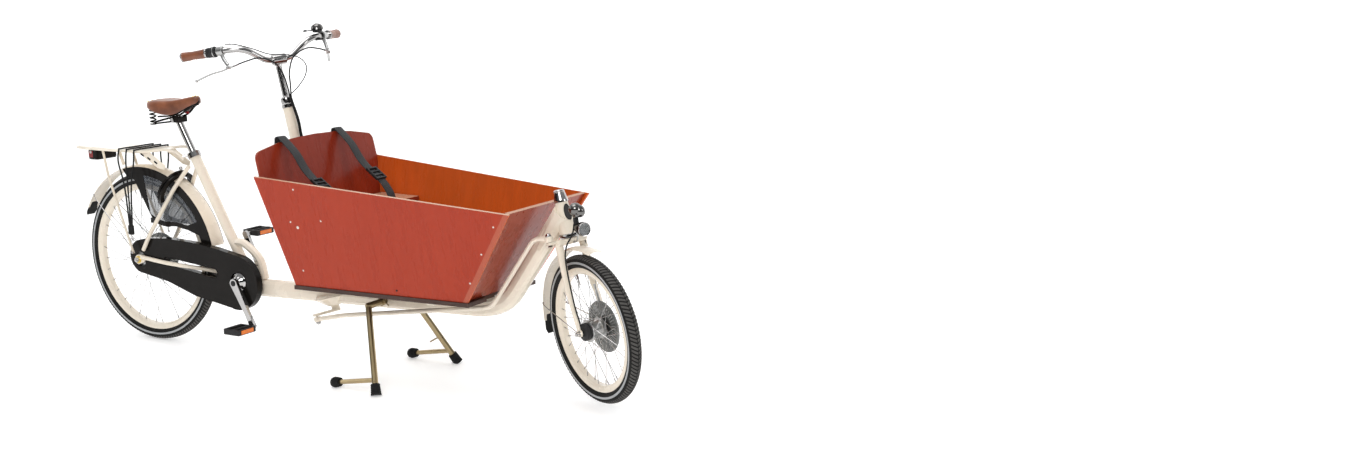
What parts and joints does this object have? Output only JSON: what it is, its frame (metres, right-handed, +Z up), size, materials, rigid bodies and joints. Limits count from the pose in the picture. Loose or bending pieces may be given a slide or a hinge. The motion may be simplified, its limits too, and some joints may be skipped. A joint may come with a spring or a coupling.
{
  "type": "cargo bicycle",
  "caption": "Long-wheelbase cargo bicycle with a plywood box low ahead of the rider, fold-up bench, rod steering, rear rack, enclosed chain and splayed parking stand.",
  "frame": {"origin": "on the ground, on the frame's mid-plane, halfway along the overall length", "axes": "+X forwards, +Y to the rider's left, +Z up; the steering is stored turned to the right"},
  "size_m": [2.5649, 0.6376, 1.2283],
  "materials": {
    "cream_paint": "gloss powder coat",
    "stained_ply": "red-brown stain under clear gloss",
    "floor_ply": "dark film-faced, matte",
    "tyre_rubber": "matte with a reflective side stripe",
    "black_rubber": "matte",
    "black_gloss": "high gloss",
    "black_plastic": "satin",
    "chrome": "polished",
    "alloy": "satin",
    "yellow_zinc": "yellow zinc plate",
    "brown_leather": "worn, soft sheen",
    "grey_webbing": "woven",
    "red_lens": "clear gloss"
  },
  "bodies": {
    "frame": {"main_beam": "cream_paint", "column_housing": "cream_paint", "seat_tube": "cream_paint", "chain_stay_right": "cream_paint", "chain_stay_left": "cream_paint", "seat_stay_right": "cream_paint", "seat_stay_left": "cream_paint", "box_side_right": "stained_ply", "box_side_left": "stained_ply", "box_front": "stained_ply", "backrest": "stained_ply", "box_floor": "floor_ply", "harness_strap_right": "grey_webbing", "harness_strap_left": "grey_webbing", "rear_rack": "cream_paint", "rear_light": "red_lens", "binder_straps": "black_rubber", "rear_fender": "cream_paint", "coat_guard_right": "black_gloss", "coat_guard_left": "black_gloss", "ring_lock": "black_gloss", "chain_case": "black_gloss", "chain": "alloy", "seat_clamp": "chrome", "rear_brake": "alloy"},
    "bench": {"bench_seat": "stained_ply"},
    "lock_bolt": {"lock_bolt": "chrome"},
    "rear_wheel": {"rear_tyre": "tyre_rubber", "rear_rim": "cream_paint", "rear_hub": "alloy"},
    "sprocket": {"sprocket": "alloy"},
    "crank": {"crankset": "chrome"},
    "pedal_right": {"pedal_right": "black_plastic"},
    "pedal_left": {"pedal_left": "black_plastic"},
    "seat": {"seat_post": "chrome", "saddle": "brown_leather"},
    "column": {"steering_column": "cream_paint", "stem": "chrome", "handlebar": "chrome", "grip_right": "brown_leather", "grip_left": "brown_leather", "bell": "chrome", "bar_cables": "black_rubber"},
    "shifter": {"twist_shifter": "black_plastic"},
    "lever_right": {"brake_lever_right": "alloy"},
    "lever_left": {"brake_lever_left": "alloy"},
    "bell_thumb": {"bell_thumb": "black_plastic"},
    "fork": {"fork": "cream_paint", "front_fender": "cream_paint", "headlamp": "black_gloss", "front_brake": "alloy"},
    "front_wheel": {"front_tyre": "tyre_rubber", "front_rim": "cream_paint", "front_hub": "alloy"},
    "steering_rod": {"steering_rod": "cream_paint"},
    "stand": {"stand": "yellow_zinc", "stand_foot_front_right": "black_rubber", "stand_foot_front_left": "black_rubber", "stand_foot_rear_right": "black_rubber", "stand_foot_rear_left": "black_rubber"}
  },
  "joints": [
    {"name": "steering", "type": "hinge", "parent": "frame", "child": "column", "pos_m": [-0.2185, 0, 0.947], "axis": [-0.2334, 0, 0.9724], "range_deg": [-12, 56]},
    {"name": "fork_turn", "type": "hinge", "parent": "frame", "child": "fork", "pos_m": [0.9575, 0, 0.565], "axis": [-0.2334, 0, 0.9724], "range_deg": [-12, 56]},
    {"name": "rod_swing", "type": "hinge", "parent": "column", "child": "steering_rod", "pos_m": [-0.07013, -0.06729, 0.18714], "axis": [-0.2334, 0, 0.9724], "range_deg": [-56, 12]},
    {"name": "front_wheel_spin", "type": "hinge", "parent": "fork", "child": "front_wheel", "pos_m": [1.055, -0.01236, 0.26651], "axis": [0.4293, 0.8973, 0.1031], "continuous": true},
    {"name": "rear_wheel_spin", "type": "hinge", "parent": "frame", "child": "rear_wheel", "pos_m": [-0.9475, 0, 0.3265], "axis": [0, 1, 0], "continuous": true},
    {"name": "crank_spin", "type": "hinge", "parent": "frame", "child": "crank", "pos_m": [-0.4475, 0, 0.285], "axis": [0, 1, 0], "continuous": true},
    {"name": "sprocket_spin", "type": "hinge", "parent": "frame", "child": "sprocket", "pos_m": [-0.9475, 0, 0.3265], "axis": [0, 1, 0], "continuous": true},
    {"name": "pedal_right_spin", "type": "hinge", "parent": "crank", "child": "pedal_right", "pos_m": [-0.36728, -0.091, 0.13285], "axis": [0, 1, 0], "continuous": true},
    {"name": "pedal_left_spin", "type": "hinge", "parent": "crank", "child": "pedal_left", "pos_m": [-0.52772, 0.0765, 0.43715], "axis": [0, 1, 0], "continuous": true},
    {"name": "seat_height", "type": "slide", "parent": "frame", "child": "seat", "axis": [-0.4775, 0, 0.8786], "range_m": [-0.04, 0.1]},
    {"name": "lock_bolt_swing", "type": "hinge", "parent": "frame", "child": "lock_bolt", "pos_m": [-0.80148, 0, 0.59882], "axis": [-0.8813, 0, 0.4726], "range_deg": [-108, 0]},
    {"name": "shifter_twist", "type": "hinge", "parent": "column", "child": "shifter", "pos_m": [-0.39098, -0.17694, 1.13724], "axis": [-0.9416, -0.2992, -0.1546], "range_deg": [0, 120]},
    {"name": "lever_right_squeeze", "type": "hinge", "parent": "column", "child": "lever_right", "pos_m": [-0.31779, -0.17572, 1.08565], "axis": [0.0746, 0.9971, 0.0179], "range_deg": [0, 15], "stiffness_Nm_per_rad": 0.6, "springref_deg": -8.59},
    {"name": "lever_left_squeeze", "type": "hinge", "parent": "column", "child": "lever_left", "pos_m": [-0.15808, 0.15806, 1.12399], "axis": [0.7226, 0.6691, 0.1735], "range_deg": [0, 15], "stiffness_Nm_per_rad": 0.6, "springref_deg": -8.59},
    {"name": "bell_thumb_push", "type": "hinge", "parent": "column", "child": "bell_thumb", "pos_m": [-0.19672, 0.11868, 1.20291], "axis": [-0.2334, 0, 0.9724], "range_deg": [0, 25], "stiffness_Nm_per_rad": 0.05, "springref_deg": -11.46},
    {"name": "bench_fold", "type": "hinge", "parent": "frame", "child": "bench", "pos_m": [-0.0325, 0, 0.602], "axis": [0, -1, 0], "range_deg": [0, 80], "deforming": ["harness_strap_right", "harness_strap_left"]},
    {"name": "stand_swing", "type": "hinge", "parent": "frame", "child": "stand", "pos_m": [0.2025, 0, 0.275], "axis": [0, 1, 0], "range_deg": [0, 80]}
  ],
  "couplings": [
    {"joint": "fork_turn", "follows": "steering", "ratio": 1},
    {"joint": "rod_swing", "follows": "steering", "ratio": -1},
    {"joint": "sprocket_spin", "follows": "crank_spin", "ratio": 2.1111}
  ]
}
